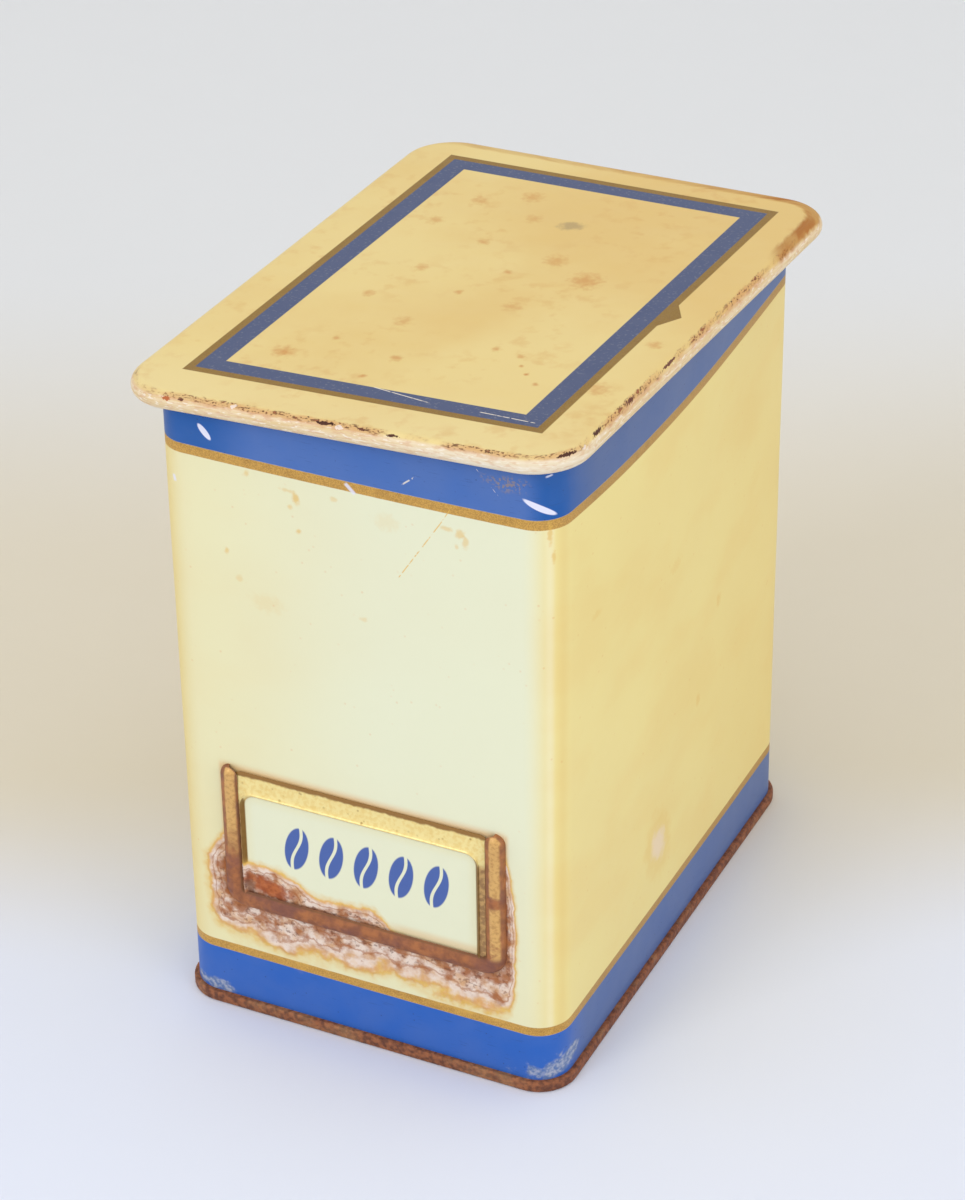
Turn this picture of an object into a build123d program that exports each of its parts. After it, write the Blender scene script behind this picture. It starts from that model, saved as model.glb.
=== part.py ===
from build123d import *
import os

os.makedirs("parts", exist_ok=True)

# A tinplate pantry tin for coffee. Millimetres, +Z up, the base on Z = 0 and centred on the
# origin, the front with its label towards -Y.

# ---- driving dimensions ------------------------------------------------------------------
SHEET = 0.35            # tinplate thickness

BODY_WIDTH = 101.0      # outside of the body wall, along X
BODY_DEPTH = 144.0      # outside of the body wall, along Y
BODY_CORNER = 8.0       # outside radius of the body's upright corners

LID_TOP = 173.4         # height of the lid's flat top
LID_WIDTH = 113.6
LID_DEPTH = 157.2
LID_CORNER = 13.0       # outside radius of the lid's corners, seen from above
LID_ROLL = 4.7          # outside diameter of the rolled edge

RIM_TOP = LID_TOP - SHEET - 0.1   # the mouth ends just under the lid's flat top
RIM_HEM = 4.0           # height of the inward hem at the mouth
HEM_WALL = 2 * SHEET + 0.15       # thickness of wall and hem together

COLLAR_DEPTH = 18.0     # how far the lid's collar reaches down into the mouth
COLLAR_PLAY = 0.5       # play between the collar and the hem, each side
COLLAR_FLANGE = 5.0     # flange of the collar that lies against the lid's underside

SEAM_OUT = 1.3          # how far the base seam stands out of the body wall
SEAM_HEIGHT = 3.0       # height of the base seam
SEAM_GAP = 0.15         # space between the folded layers of the seam
PANEL_RISE = 2.6        # height of the base panel's underside over the floor

LOCK_SEAM_WIDTH = 6.0   # upright lock seam inside the back wall
LOCK_SEAM_THICK = 0.7

HOLDER_WIDTH = 75.0     # label holder, outside
HOLDER_BOTTOM = 31.8    # height of its lower edge
HOLDER_TOP = 72.2       # height of the rounded tops of its legs
HOLDER_BEAD = 5.2       # width of its half-round legs and bar
HOLDER_PROUD = 2.2      # how far the half-round stands out of the wall
HOLDER_CORNER = 5.6     # radius of its outer lower corners

PLATE_WIDTH = 68.6      # label plate
PLATE_BOTTOM = 32.4
PLATE_TOP = 71.2
PLATE_CORNER = 3.0
PLATE_THICK = 0.4
PLATE_PLAY = 0.2        # play of the plate in front of the wall, and again under the lips


# ---- helpers -----------------------------------------------------------------------------
def outline(offset):
    """Width, depth and corner radius of the body's outline, grown by an offset."""
    return BODY_WIDTH + 2 * offset, BODY_DEPTH + 2 * offset, BODY_CORNER + offset


def prism(size, bottom, top):
    """Upright block on a rounded rectangle, centred on the Z axis."""
    return extrude(Pos(0, 0, bottom) * RectangleRounded(*size), amount=top - bottom)


def tube(offset, wall, bottom, top):
    """Upright wall around the Z axis; its outside lies at an offset from the body's outline."""
    return prism(outline(offset), bottom, top) - prism(outline(offset - wall), bottom - 1, top + 1)


def moulding(profile, width, depth, corner):
    """Carries a profile around a rounded rectangle. Its X points outward, its Y up."""
    path = RectangleRounded(width, depth, corner).face().outer_wire()
    up = Vector(0, 0, 1)
    outward = (path % 0).cross(up)
    if outward.dot(path @ 0) < 0:
        outward = -outward
    start = Plane(origin=path @ 0, x_dir=outward, z_dir=outward.cross(up))
    return sweep(start * profile, path=path)


# ---- body: wall, hem at the mouth, hook in the base seam, lock seam ------------------------
hook_out = SEAM_OUT - SHEET - SEAM_GAP
hook_bottom = SHEET + SEAM_GAP
hook_top = SEAM_HEIGHT - SHEET - SEAM_GAP
body = tube(0, SHEET, hook_bottom, RIM_TOP)
body += tube(0, HEM_WALL, RIM_TOP - RIM_HEM, RIM_TOP)
body += tube(hook_out, hook_out + SHEET, hook_bottom, hook_bottom + SHEET)
body += tube(hook_out, SHEET, hook_bottom, hook_top)
lock_bottom = SEAM_HEIGHT + 1
lock_top = RIM_TOP - RIM_HEM + 0.5
lock = Box(LOCK_SEAM_WIDTH, LOCK_SEAM_THICK, lock_top - lock_bottom)
lock_y = BODY_DEPTH / 2 - SHEET - LOCK_SEAM_THICK / 2
body += Pos(0, lock_y, (lock_top + lock_bottom) / 2) * lock

# ---- base: raised panel, wall down to the floor, channel that closes over the hook ----------
channel_in = -SHEET - SEAM_GAP
base = tube(SEAM_OUT, SEAM_OUT - channel_in + SHEET, 0, SHEET)
base += tube(SEAM_OUT, SHEET, 0, SEAM_HEIGHT)
base += tube(SEAM_OUT, SEAM_OUT - SEAM_GAP, SEAM_HEIGHT - SHEET, SEAM_HEIGHT)
base += tube(channel_in, SHEET, 0, PANEL_RISE + SHEET)
base += prism(outline(channel_in), PANEL_RISE, PANEL_RISE + SHEET)

# ---- lid: flat top and rolled edge, the roll left open on its inner side ---------------------
roll = LID_ROLL / 2
roll_opening = Pos(-roll, 0) * Rectangle(roll, 1.2)
roll_profile = Circle(roll) - Circle(roll - SHEET) - roll_opening
roll_path = (LID_WIDTH - LID_ROLL, LID_DEPTH - LID_ROLL, LID_CORNER - roll)
lid = moulding(Pos(0, LID_TOP - roll) * roll_profile, *roll_path)
lid += prism(roll_path, LID_TOP - SHEET, LID_TOP)

# ---- collar under the lid: upright ring with a flange turned inward -------------------------
collar_out = -HEM_WALL - COLLAR_PLAY
collar_top = LID_TOP - SHEET
collar = tube(collar_out, SHEET, collar_top - COLLAR_DEPTH, collar_top)
collar += tube(collar_out, COLLAR_FLANGE, collar_top - SHEET, collar_top)

# ---- label holder: a hollow half-round bent into a U, drawn flat and stood up on the front ---
bead = HOLDER_BEAD / 2
leg_x = HOLDER_WIDTH / 2 - bead
leg_top = HOLDER_TOP - bead
bar_y = HOLDER_BOTTOM + bead
turn = HOLDER_CORNER - bead
on_front = Pos(0, -BODY_DEPTH / 2, 0) * Rot(90, 0, 0)


def upright(x, y, along):
    """Plane for a half-round's section: its height along Z, the half-round running along."""
    across = Vector(0, 0, 1).cross(Vector(*along))
    return Plane(origin=(x, y, 0), x_dir=across, z_dir=along)


def half_round_u(radius, proud):
    """The U filled with a half-oval section, its legs ending in domes."""
    oval = Ellipse(radius, proud) & Pos(0, proud) * Rectangle(2 * radius, 2 * proud)
    quarter = oval & Pos(radius, proud) * Rectangle(2 * radius, 2 * proud)
    dome = revolve(Plane.XZ * quarter, Axis.Z, 180)
    leg_length = leg_top - bar_y - turn
    bar_length = 2 * (leg_x - turn)
    solid = extrude(upright(-leg_x + turn, bar_y, (1, 0, 0)) * oval, amount=bar_length)
    for side in (-1, 1):
        solid += extrude(upright(side * leg_x, leg_top, (0, -1, 0)) * oval, amount=leg_length)
        solid += Pos(side * leg_x, leg_top, 0) * dome
        elbow_axis = Axis((side * (leg_x - turn), bar_y + turn, 0), (0, 0, side))
        elbow_end = upright(side * (leg_x - turn), bar_y, (1, 0, 0)) * oval
        solid += revolve(elbow_end, elbow_axis, 90)
    return solid


slot_width = PLATE_WIDTH + 2 * PLATE_PLAY
slot_height = HOLDER_TOP - PLATE_BOTTOM + 2
slot_deep = PLATE_THICK + 2 * PLATE_PLAY
slot = Box(slot_width, slot_height, 2 * slot_deep)
holder = half_round_u(bead, HOLDER_PROUD) - half_round_u(bead - SHEET, HOLDER_PROUD - SHEET)
holder -= Pos(0, PLATE_BOTTOM - 0.1 + slot_height / 2, 0) * slot
holder = on_front * holder

# ---- label plate: stands on the bar's outer edge, held by the lips of legs and bar -----------
plate_height = PLATE_TOP - PLATE_BOTTOM
plate = extrude(RectangleRounded(PLATE_WIDTH, plate_height, PLATE_CORNER), amount=PLATE_THICK)
plate = on_front * Pos(0, PLATE_BOTTOM + plate_height / 2, PLATE_PLAY) * plate

pieces = {
    "body_wrap": body,
    "base_pan": base,
    "lid_panel": lid,
    "lid_collar": collar,
    "label_holder": holder,
    "label_plate": plate,
}
for name, piece in pieces.items():
    export_step(piece, f"parts/{name}.step")
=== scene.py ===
import math
from collections import namedtuple

import bmesh
import bpy
import numpy as np
from mathutils import Matrix, Vector


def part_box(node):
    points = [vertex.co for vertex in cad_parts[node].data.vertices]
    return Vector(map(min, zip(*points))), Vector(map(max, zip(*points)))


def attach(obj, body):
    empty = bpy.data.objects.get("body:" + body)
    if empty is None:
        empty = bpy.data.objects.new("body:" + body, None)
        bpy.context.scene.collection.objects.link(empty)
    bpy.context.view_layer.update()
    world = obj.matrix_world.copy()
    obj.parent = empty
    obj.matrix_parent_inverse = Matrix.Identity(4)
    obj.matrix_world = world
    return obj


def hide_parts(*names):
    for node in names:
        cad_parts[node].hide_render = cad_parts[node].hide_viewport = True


# A worn tinplate coffee tin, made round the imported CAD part. Each of its nodes is shown by a mesh
# with what the plain part leaves out: the bowed walls, the twisted lid, the rolled edges, the
# stamped label plate, the print and the rust. Lengths are millimetres until a mesh is made.

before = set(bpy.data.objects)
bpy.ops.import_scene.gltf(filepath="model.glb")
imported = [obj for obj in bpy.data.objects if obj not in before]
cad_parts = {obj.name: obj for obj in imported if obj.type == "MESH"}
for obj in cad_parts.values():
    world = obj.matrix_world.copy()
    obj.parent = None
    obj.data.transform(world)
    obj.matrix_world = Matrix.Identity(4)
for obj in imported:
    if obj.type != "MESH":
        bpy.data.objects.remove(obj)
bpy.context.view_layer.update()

MM = 0.001
SHEET = 0.35  # tinplate thickness


def node_box(node):
    """Lowest and highest corner of a CAD node, in millimetres."""
    low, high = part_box(node)
    return np.array(low) / MM, np.array(high) / MM


# ---- sizes taken from the CAD ----
lid_low, lid_high = node_box("lid_panel")
holder_low, holder_high = node_box("label_holder")
plate_low, plate_high = node_box("label_plate")

LID_HALF = np.array([lid_high[0], lid_high[1]])
LID_ROLL = (lid_high[2] - lid_low[2]) / 2
SEAM_TOP = node_box("base_pan")[1][2]
HOLDER_HALF = holder_high[0]
HOLDER_BOTTOM, HOLDER_TOP = holder_low[2], holder_high[2]
PLATE_HALF = plate_high[0]
PLATE_BOTTOM, PLATE_TOP = plate_low[2], plate_high[2]

# ---- sizes of the used tin ----
BODY_HALF = np.array([50.0, 71.55])  # at the mouth; the walls lean outward towards the foot
BODY_FLARE = 0.82
BODY_CORNER = 7.2
BODY_CORNER_FOOT = 8.6
WALL_FOOT = 0.6
RIM_Z = 170.3
RIM_ROUND = 0.5  # radius of the fold at the mouth
HEM = 4.0
BOW = {"front": 0.85, "right": 3.0, "back": 0.9, "left": 0.9}
SEAM_OUT = 1.31  # how far the base seam stands out from the wall
SEAM_ROUND = 0.62

LID_CORNER = 13.0
LID_TURN = (-0.95, -1.73, -0.97)  # how the loose lid sits: degrees about X, Y and Z
LID_SHIFT = (0.80, 0.16, 172.96)
LID_TWIST = -1.10 / 5000  # rise for each square millimetre of x times y
LID_FLAT = 9.0  # from the rim to where the lid is quite flat
COLLAR_HALF = np.array([46.9, 69.3])
COLLAR_CORNER = 6.0
COLLAR_FLANGE = 5.0
COLLAR_DEPTH = 18.0

HOLDER_BEAD = 2.6  # half width of the half-round
HOLDER_PROUD = 2.2
HOLDER_TURN = 3.0  # radius of the bends, to the middle of the half-round
LIP_GAP = 1.05  # height of the lip over the wall; the plate slides under it
PLATE_Y = -72.5  # back of the label plate
PLATE_CORNER = 3.0  # of the plate and of its window
HOLDER_SHIFT = 0.3  # the holder was soldered on a little to the right
BORDER_LOW = 0.42  # height of the plate's border at its outside
BORDER_RISE = 0.75  # how much it rises towards the window
WINDOW_CENTRE = (-0.2, 49.4)
WINDOW_HALF = (30.7, 15.5)

# ---- printed lines: heights on the wall, half sizes on the lid ----
UPPER_GOLD = (154.6, 157.1)
LOWER_GOLD = (16.2, 18.6)
CLOSING = 238.6  # from the middle of the front to where the print ends, at the foot
CLOSING_LEAN = 0.0122  # how much shorter that way gets for each millimetre of height
FRAME_CENTRE = (0.1, 1.2)
FRAME_OUTER = (45.1, 67.0)
FRAME_MIDDLE = (43.0, 64.8)
FRAME_INNER = (37.8, 59.8)
TAB_PLACE = (45.0, 1.1)  # small gold tab on the right of the frame
TAB_SLOPE = 0.55
TAB_LENGTH = 3.6


# ---- colours ----
def shade(red, green, blue):
    """Linear colour from display values of 0 to 255."""
    def linear(value):
        value /= 255
        return value / 12.92 if value <= 0.04045 else ((value + 0.055) / 1.055) ** 2.4
    return (linear(red), linear(green), linear(blue), 1.0)


CREAM_FRONT = shade(226, 227, 196)  # paler cream of the front
CREAM_SIDE = shade(233, 215, 142)
CREAM_LID = shade(227, 203, 134)
CREAM_DEEP = shade(216, 176, 98)
CREAM_RUBBED = shade(236, 224, 204)
BLUE_PALE = shade(66, 106, 176)
BLUE_DEEP = shade(8, 84, 160)
BLUE_FOOT = shade(36, 94, 182)
BLUE_PAINTED_REFLECTION = shade(84, 104, 146)
BLUE_LID = shade(66, 78, 114)
GOLD_WALL = shade(204, 158, 76)
GOLD_LID = shade(142, 108, 28)
GOLD_PLATE = shade(238, 218, 148)
GOLD_DARK = shade(140, 100, 42)
OLIVE = shade(122, 86, 22)
RUST_BLACK = shade(78, 40, 26)
RUST_DARK = shade(108, 62, 44)
RUST_BROWN = shade(162, 96, 50)
RUST_ORANGE = shade(180, 98, 50)
RUST_AMBER = shade(218, 162, 92)
RUST_PINK = shade(209, 165, 124)
STAIN = shade(222, 178, 84)
FLAKE_WHITE = shade(231, 212, 196)
MARK_WHITE = shade(224, 224, 240)
STEEL = shade(158, 158, 156)
BEAN_BLUE = shade(70, 96, 162)


# ---- materials written as formulas ----
def operator(operation, swapped=False):
    """A method that makes a math node of a value and, where there is one, the other."""
    def method(self, *others):
        values = (*others, self) if swapped else (self, *others)
        return self.paint.math(operation, *values)
    return method


class Value:
    """A number or colour in a node tree, so that a pattern can be written as a formula."""

    def __init__(self, paint, socket):
        self.paint = paint
        self.socket = socket

    __add__ = __radd__ = operator("ADD")
    __sub__ = operator("SUBTRACT")
    __rsub__ = operator("SUBTRACT", swapped=True)
    __mul__ = __rmul__ = operator("MULTIPLY")
    __truediv__ = operator("DIVIDE")
    __abs__ = operator("ABSOLUTE")
    least = operator("MINIMUM")
    most = operator("MAXIMUM")

    def above(self, edge, soft):
        """1 where the value is over the edge, 0 under it, smooth within soft of it."""
        return self.paint.ramp(self, edge, soft, 0.0, 1.0)

    def below(self, edge, soft):
        return self.paint.ramp(self, edge, soft, 1.0, 0.0)

    def within(self, low, high, soft):
        return self.above(low, soft) * self.below(high, soft)

    def ragged(self, depth, per_mm, seed, detail, where=None):
        """The value with noise of a depth added, which makes an edge drawn at it uneven."""
        return self + (self.paint.noise(per_mm, seed, detail, where) - 0.5) * depth


class Paint:
    """One material. Its patterns are placed by two mesh attributes in millimetres.

    spot is the place on the printed sheet: along the wall and up it, or across the lid.
    edge runs along a rolled or folded edge and across it.
    """

    def __init__(self, name):
        self.material = bpy.data.materials.new(name)
        self.material.use_nodes = True
        self.nodes = self.material.node_tree.nodes
        self.links = self.material.node_tree.links
        self.nodes.clear()
        self.shader = self.nodes.new("ShaderNodeBsdfPrincipled")
        output = self.nodes.new("ShaderNodeOutputMaterial")
        self.links.new(self.shader.outputs[0], output.inputs[0])
        self.spot, (self.x, self.y, _) = self.attribute("spot")
        self.edge, (self.along, self.across, self.height) = self.attribute("edge")

    def attribute(self, name):
        node = self.nodes.new("ShaderNodeAttribute")
        node.attribute_name = name
        return self.split(node.outputs["Vector"])

    def split(self, socket):
        node = self.nodes.new("ShaderNodeSeparateXYZ")
        self.links.new(socket, node.inputs[0])
        return Value(self, socket), [Value(self, out) for out in node.outputs]

    def feed(self, value, socket):
        if isinstance(value, Value):
            self.links.new(value.socket, socket)
        else:
            socket.default_value = value

    def math(self, operation, *values):
        node = self.nodes.new("ShaderNodeMath")
        node.operation = operation
        for socket, value in zip(node.inputs, values):
            self.feed(value, socket)
        return Value(self, node.outputs[0])

    def ramp(self, value, edge, soft, start, end):
        node = self.nodes.new("ShaderNodeMapRange")
        node.interpolation_type = "SMOOTHSTEP"
        inputs = (value, edge - soft, edge + soft, start, end)
        for name, given in zip(("Value", "From Min", "From Max", "To Min", "To Max"), inputs):
            self.feed(given, node.inputs[name])
        return Value(self, node.outputs[0])

    def spread(self, where, per_mm, seed):
        """Coordinates of a noise with so many bumps per millimetre, placed by spot if where is None."""
        node = self.nodes.new("ShaderNodeMapping")
        scale = per_mm if isinstance(per_mm, tuple) else (per_mm,) * 3
        node.inputs["Scale"].default_value = scale
        node.inputs["Location"].default_value = (seed * 7.3, seed * 3.1, seed * 5.7)
        self.feed(where or self.spot, node.inputs["Vector"])
        return node.outputs[0]

    def noise(self, per_mm, seed, detail=3.0, where=None):
        """Cloudy noise, mostly between 0.3 and 0.7."""
        node = self.nodes.new("ShaderNodeTexNoise")
        node.inputs["Scale"].default_value = 1.0
        node.inputs["Detail"].default_value = detail
        self.links.new(self.spread(where, per_mm, seed), node.inputs["Vector"])
        return Value(self, node.outputs["Fac"])

    def cells(self, per_mm, seed):
        """Distance from scattered points, in steps between them."""
        node = self.nodes.new("ShaderNodeTexVoronoi")
        node.inputs["Scale"].default_value = 1.0
        self.links.new(self.spread(None, per_mm, seed), node.inputs["Vector"])
        return Value(self, node.outputs["Distance"])

    def mix(self, share, first, second):
        """first where share is 0, second where it is 1."""
        node = self.nodes.new("ShaderNodeMix")
        node.data_type = "RGBA"
        for index, value in ((0, share), (6, first), (7, second)):
            self.feed(value, node.inputs[index])
        return Value(self, node.outputs[2])

    def select(self, share, first, second):
        """A number between first, where share is 0, and second, where it is 1."""
        return first + (second - first) * share

    def edge_line(self, value, place, soft):
        """1 on a line where the value has a given size, 0 away from it."""
        return abs(value - place).below(soft / 2, soft / 2)

    def distance(self, x, y, wide, high, turn=0.0, place=None):
        """Distance from the centre of an ellipse: 1 on its outline. place is a pair, spot if left out."""
        c, s = math.cos(math.radians(turn)), math.sin(math.radians(turn))
        here_x, here_y = place or (self.x, self.y)
        dx, dy = here_x - x, here_y - y
        along = (dx * c + dy * s) / wide
        across = (dy * c - dx * s) / high
        return self.math("SQRT", along * along + across * across)

    def stroke(self, start, end, width, broken):
        """1 on a straight scratch, 0 beside it; broken takes pieces out of it."""
        length = math.dist(start, end)
        dx, dy = (end[0] - start[0]) / length, (end[1] - start[1]) / length
        px, py = self.x - start[0], self.y - start[1]
        along = px * dx + py * dy
        across = abs(py * dx - px * dy)
        line = across.below(width / 2, width / 4) * along.within(0, length, 0.3)
        if broken:
            line = line * self.noise(0.8, 4, 2).above(0.35 + broken / 4, 0.05)
        return line

    def bump(self, height, depth, base=None):
        """Normal of a surface whose height runs from 0 to depth millimetres."""
        node = self.nodes.new("ShaderNodeBump")
        node.inputs["Distance"].default_value = depth * MM
        self.feed(height, node.inputs["Height"])
        if base:
            self.feed(base, node.inputs["Normal"])
        return Value(self, node.outputs[0])

    def finish(self, colour, roughness, normal=None, metallic=0.0, specular=0.5):
        fields = {"Base Color": colour, "Roughness": roughness, "Metallic": metallic}
        fields["Specular IOR Level"] = specular
        if normal:
            fields["Normal"] = normal
        for name, value in fields.items():
            self.feed(value, self.shader.inputs[name])
        return self.material


def rust_layers(p, reach, under):
    """Blistered rust over a colour. reach is 0 where it is oldest and 1 at its outline."""
    crumb = p.noise(0.55, 11, 6)
    torn = reach.ragged(0.8, 0.16, 12, 4) + (crumb - 0.5) * 0.25
    stained = p.mix(torn.below(1.12, 0.22) * 0.6, under, STAIN)
    rim = p.mix(torn.below(1.0, 0.08), stained, p.mix(crumb.above(0.5, 0.1), STAIN, RUST_AMBER))
    flakes = p.mix(p.noise(0.3, 16, 4).above(0.46, 0.14), RUST_PINK, FLAKE_WHITE)
    flaked = p.mix(torn.below(0.88, 0.1), rim, flakes)
    # thin brown steps, like the lines of a map, where one blister ended and the next began
    step = p.math("SINE", torn * 21.0).above(0.72, 0.25) * torn.below(0.86, 0.1)
    lined = p.mix(step * 0.55, flaked, RUST_BROWN)
    mottle = p.noise(0.3, 13, 6) + (0.55 - torn) * 0.25
    tanned = p.mix(mottle.above(0.54, 0.12) * torn.below(0.84, 0.2) * 0.85, lined, RUST_BROWN)
    specks = p.noise(0.9, 15, 4).above(0.60, 0.06) * torn.below(0.6, 0.1)
    specked = p.mix(specks * 0.6, tanned, RUST_DARK)
    old = torn.ragged(0.5, 0.22, 14, 3).below(0.14, 0.16)
    core = p.mix(old, specked, p.mix(crumb.above(0.52, 0.12), RUST_BROWN, RUST_DARK))
    return core, torn.below(0.96, 0.1), crumb


def speckled_gold(p, base, dark, grain, share=0.5):
    """Gold bronze ink, grainy and worn dark in spots."""
    grains = p.noise(grain, 21, 4).above(share, 0.12)
    patches = p.noise(0.25, 22, 3).above(0.6, 0.12) * 0.2
    return p.mix((grains * 0.5 + patches).least(1.0), base, dark)


def inked_side(p, low, high, seed):
    """A printed band between two heights, its edges very slightly uneven."""
    waver = p.y.ragged(0.12, 0.5, seed, 3)
    return waver.within(low, high, 0.09)


# Marks on the wall, in millimetres along the sheet from the middle of the front and up from the floor.
# A scratch has two ends, a width, how broken it is and its colour. Other marks have a place and two
# half sizes, then a stain has its strength and the rest may have a turn in degrees.
WALL_SCRATCHES = (
    ((25.8, 156.6), (22.8, 151.6), 0.22, 0.3, STAIN),
    ((22.8, 151.6), (12.2, 135.4), 0.26, 0.3, STAIN),
    ((13.7, 159.5), (17.0, 162.1), 0.34, 0.3, CREAM_RUBBED),
    ((-0.5, 156.5), (1.8, 154.3), 0.9, 0.0, MARK_WHITE),
    ((47.7, 167.8), (49.1, 168.2), 0.45, 0.0, MARK_WHITE),
    ((31.0, 168.0), (38.0, 160.5), 0.10, 0.8, CREAM_RUBBED),
    ((-45.4, 148.2), (-45.0, 146.6), 0.9, 0.0, MARK_WHITE),
)
WALL_SLIVERS = ((-36.3, 161.4, 2.3, 0.8, -48.0), (46.4, 160.2, 4.1, 0.75, -28.0))
RUBBED_PATCH = (39.0, 165.3, 5.6, 2.2)
FOOT_KNOCKS = ((-43.0, 4.8, 8.0, 2.2), (50.0, 6.0, 11.0, 3.6, 12.0))
BLISTER = (106.5, 36.0, 4.6, 6.4, 20.0)
WALL_STAINS = (
    (-13.2, 149.6, 1.0, 1.3, 0.9), (-15.4, 151.2, 2.0, 0.5, 0.5), (-14.9, 147.2, 0.7, 0.7, 0.6),
    (-12.9, 141.2, 0.7, 0.7, 0.8), (-32.1, 131.6, 0.6, 0.9, 0.7), (-25.7, 153.3, 0.7, 0.8, 0.6),
    (-3.6, 151.6, 0.9, 0.7, 0.5), (-29.0, 125.0, 0.9, 0.9, 0.4), (24.6, 150.7, 1.6, 0.6, 0.6),
    (27.6, 150.0, 1.2, 1.2, 0.7), (28.9, 148.2, 0.8, 1.6, 0.6), (26.7, 146.6, 0.5, 0.6, 0.5),
    (9.5, 148.8, 3.0, 2.2, 0.2), (-22.0, 120.0, 4.0, 2.4, 0.2), (3.0, 122.0, 1.0, 0.6, 0.4),
    (48.6, 153.7, 0.6, 2.6, 0.8), (49.4, 147.6, 0.5, 1.6, 0.7), (66.7, 124.4, 2.4, 1.0, 0.3),
    (111.3, 113.3, 3.2, 1.6, 0.3), (141.8, 87.1, 1.4, 2.0, 0.5), (130.0, 64.6, 1.2, 1.8, 0.5),
)


def wall_rust(p, colour):
    """Rust creeping out from under the label holder."""
    wave = p.math("COSINE", (p.x + 18.0) * (math.tau / 46)) * 1.2
    below = (HOLDER_BOTTOM + 2.0 - p.y).most(0.0) / (wave + 12.2)
    left = (HOLDER_SHIFT - HOLDER_HALF - p.x).most(0.0) / 5.6 + (p.y - 44.0).most(0.0) * 0.13
    right = (p.x - HOLDER_SHIFT - HOLDER_HALF).most(0.0) / 2.6 + (p.y - 52.0).most(0.0) * 0.06
    beside = p.select(p.x.above(0.0, 30.0), left, right)
    reach = p.math("SQRT", below * below + beside * beside) + p.y.above(66.0, 6.0) * 0.4
    # a little younger towards the right
    young = p.x.above(-20.0, 14.0) * 0.07
    rusted, rust, crumb = rust_layers(p, reach + young * below.below(0.8, 0.2), colour)
    near = abs(p.x).below(50.0, 1.0) * p.y.within(12.0, 74.0, 2.0)
    return p.mix(near, colour, rusted), rust * near, crumb


def wall_cream(p, from_front):
    """Cream ground: paler on the front, yellower on the other sides, with a painted highlight and painted
    shade on the right front corner.
    """
    paler_front = from_front.below(46.5, 4.5) * (0.6 + 0.4 * p.x.above(-18.0, 30.0))
    cream = p.mix(paler_front, CREAM_SIDE, CREAM_FRONT)
    aged = p.noise(0.02, 31, 2).above(0.5, 0.2) * (1.0 - paler_front * 0.6)
    edge_tan = abs(p.x + 49.0).below(3.0, 7.0) * 0.25
    far = from_front.above(150.0, 60.0) * 0.2
    cream = p.mix((aged * 0.12 + edge_tan + far).least(1.0), cream, CREAM_DEEP)
    # painted highlight as a pale line along the middle of the right front corner, and painted shade as a tan
    # line behind it
    cream = p.mix(p.edge_line(p.x, 48.6, 1.6) * 0.4, cream, shade(240, 234, 200))
    cream = p.mix(p.edge_line(p.x, 51.8, 2.4) * 0.2, cream, CREAM_DEEP)
    # amber clouds on the sides, and yellower towards the foot
    clouds = p.noise((0.03, 0.05, 1.0), 48, 4).above(0.58, 0.12) * (1.0 - paler_front)
    cream = p.mix(clouds * 0.18, cream, shade(226, 184, 100))
    cream = p.mix(p.y.below(45.0, 35.0) * paler_front * 0.3, cream, CREAM_SIDE)
    pores = p.cells(0.35, 32).below(0.10, 0.06) * p.noise(0.12, 33).above(0.55, 0.08)
    return p.mix(pores * 0.3, cream, RUST_AMBER)


def wall_bands(p, from_front, cream):
    """The blue bands and gold lines over the cream, and the gold lines' share for their gloss."""
    gold = speckled_gold(p, GOLD_WALL, GOLD_DARK, 3.6)
    gold = p.mix(from_front.above(56.0, 10.0) * 0.5, gold, shade(158, 124, 76))
    lines = inked_side(p, *UPPER_GOLD, 34) + inked_side(p, *LOWER_GOLD, 35)
    bands = inked_side(p, UPPER_GOLD[1], 400, 34) + inked_side(p, -10, LOWER_GOLD[0], 35)
    # the upper band is paler on the front than on its rounded corners, and past them all the blue is greyed
    # by painted reflection
    blue = p.mix(p.x.above(-30.0, 9.0) * p.x.below(45.0, 3.0), BLUE_DEEP, BLUE_PALE)
    blue = p.mix(p.y.below(80.0, 1.0), blue, BLUE_FOOT)
    # painted reflection: the blue of the side walls greyed as if reflecting the pale floor
    blue = p.mix(from_front.above(58.0, 8.0) * 0.78, blue, BLUE_PAINTED_REFLECTION)
    blue = p.mix(p.noise(0.07, 36, 4).above(0.5, 0.2) * 0.06, blue, STEEL)
    specks = p.cells(0.5, 37).below(0.09, 0.03) * p.noise(0.2, 38).above(0.52, 0.05)
    blue = p.mix(specks * 0.6, blue, shade(36, 46, 80))
    scuffs = p.noise((0.25, 2.4, 1.0), 47, 5).above(0.66, 0.03) * p.x.above(-20.0, 30.0)
    blue = p.mix(scuffs * 0.3, blue, shade(36, 62, 110))
    colour = p.mix(bands, p.mix(lines, cream, gold), blue)
    # bare line where the sheet closes at the back
    closing = (from_front + p.y * CLOSING_LEAN).above(CLOSING, 0.15)
    return p.mix(closing * 0.7, colour, shade(138, 126, 96)), lines


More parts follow.
